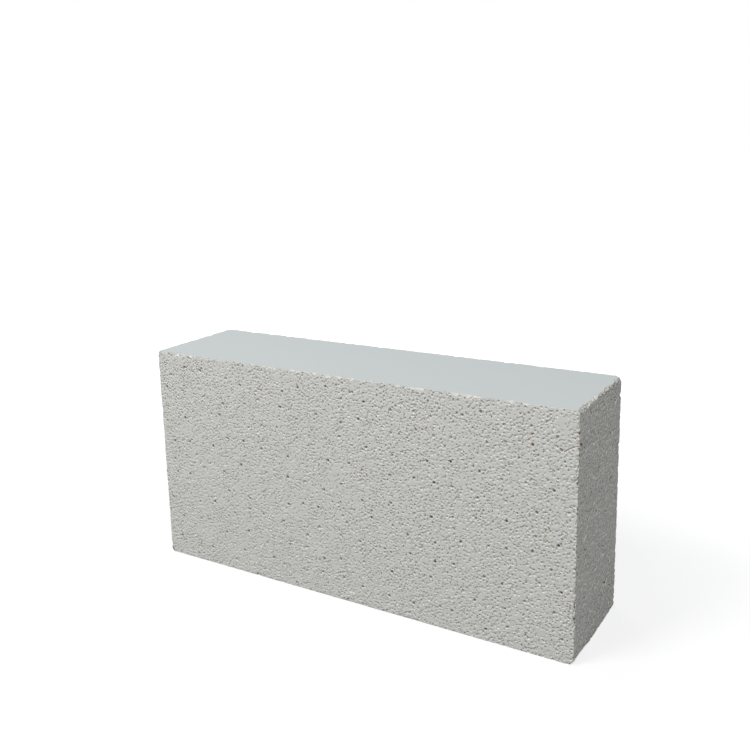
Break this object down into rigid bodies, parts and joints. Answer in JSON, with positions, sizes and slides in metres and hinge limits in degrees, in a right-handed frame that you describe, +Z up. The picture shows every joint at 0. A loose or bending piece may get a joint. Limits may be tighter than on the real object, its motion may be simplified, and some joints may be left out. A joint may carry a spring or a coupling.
{
  "type": "insulating fire brick",
  "caption": "Rectangular lightweight refractory brick with open-pored faces and worn edges, for lining and building kilns and furnaces.",
  "frame": {"origin": "middle of the long narrow face that the brick stands on", "axes": "+X along the brick's length, +Y through its thickness from the front large face to the back one, +Z up along its height as it stands on its long narrow side"},
  "size_m": [0.25, 0.064, 0.124],
  "materials": {
    "fired_clay": "matt, off-white, full of small open pores with warm brown shade in them"
  },
  "bodies": {
    "root": {"fire_brick": "fired_clay"}
  },
  "joints": []
}
